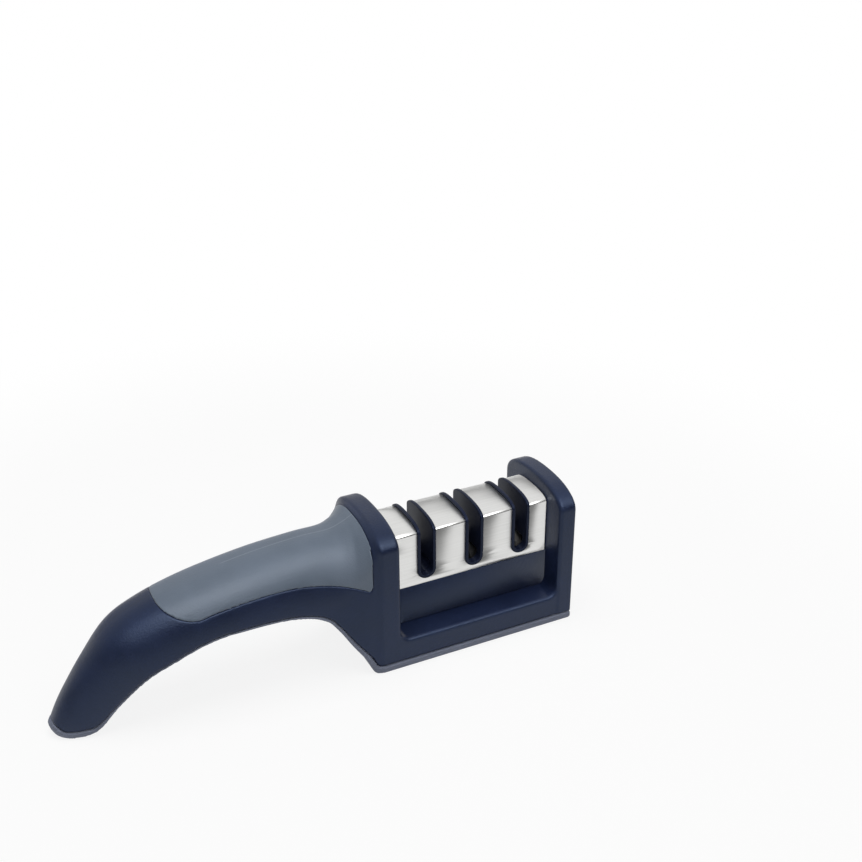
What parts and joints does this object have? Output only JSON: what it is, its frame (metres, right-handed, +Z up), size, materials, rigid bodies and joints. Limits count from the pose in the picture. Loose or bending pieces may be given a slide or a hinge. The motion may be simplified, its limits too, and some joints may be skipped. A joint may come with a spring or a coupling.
{
  "type": "knife sharpener",
  "caption": "Hand-held pull-through knife sharpener with an arched soft-grip handle, a steel-clad slotted head and freely turning sharpening wheels.",
  "frame": {"origin": "centre of the footprint, on the table that the pads rest on", "axes": "+X from the handle's tip towards the slotted head, +Y across the head along the slots, +Z up"},
  "size_m": [0.204, 0.044, 0.06],
  "materials": {
    "housing": "satin moulded, very dark navy",
    "grip": "matte soft-touch inlay, slate grey",
    "cover": "matte grey",
    "pad": "matte non-slip",
    "stainless": "brushed along the head",
    "black_plastic": "satin black",
    "carbide": "ground",
    "diamond": "fine grit bonded to a metal wheel",
    "ceramic": "fine ceramic",
    "bright_steel": "zinc plated",
    "dark_steel": "black oxide"
  },
  "bodies": {
    "housing": {"body_shell": "housing", "handle_grip": "grip", "bottom_cover": "cover", "base_pad": "pad", "tip_pad": "pad", "steel_cover": "stainless", "slot_block": "black_plastic", "module_plate": "black_plastic", "carbide_holder": "black_plastic", "carbide_blade_near": "carbide", "carbide_blade_far": "carbide", "blade_screws": "dark_steel", "diamond_cradle": "black_plastic", "diamond_axle": "bright_steel", "ceramic_cradle": "black_plastic", "ceramic_axle": "bright_steel", "plate_screws": "bright_steel", "module_screws": "bright_steel", "cover_screws": "bright_steel"},
    "diamond_wheel_near": {"diamond_wheel_near": "diamond"},
    "diamond_wheel_far": {"diamond_wheel_far": "diamond"},
    "ceramic_wheel_near": {"ceramic_wheel_near": "ceramic"},
    "ceramic_wheel_far": {"ceramic_wheel_far": "ceramic"}
  },
  "joints": [
    {"name": "diamond_near_spin", "type": "hinge", "parent": "housing", "child": "diamond_wheel_near", "pos_m": [0.0627, 0, 0.0278], "axis": [1, 0, 0], "continuous": true},
    {"name": "diamond_far_spin", "type": "hinge", "parent": "housing", "child": "diamond_wheel_far", "pos_m": [0.0627, 0, 0.0278], "axis": [1, 0, 0], "continuous": true},
    {"name": "ceramic_near_spin", "type": "hinge", "parent": "housing", "child": "ceramic_wheel_near", "pos_m": [0.0831, 0, 0.0278], "axis": [1, 0, 0], "continuous": true},
    {"name": "ceramic_far_spin", "type": "hinge", "parent": "housing", "child": "ceramic_wheel_far", "pos_m": [0.0831, 0, 0.0278], "axis": [1, 0, 0], "continuous": true}
  ]
}
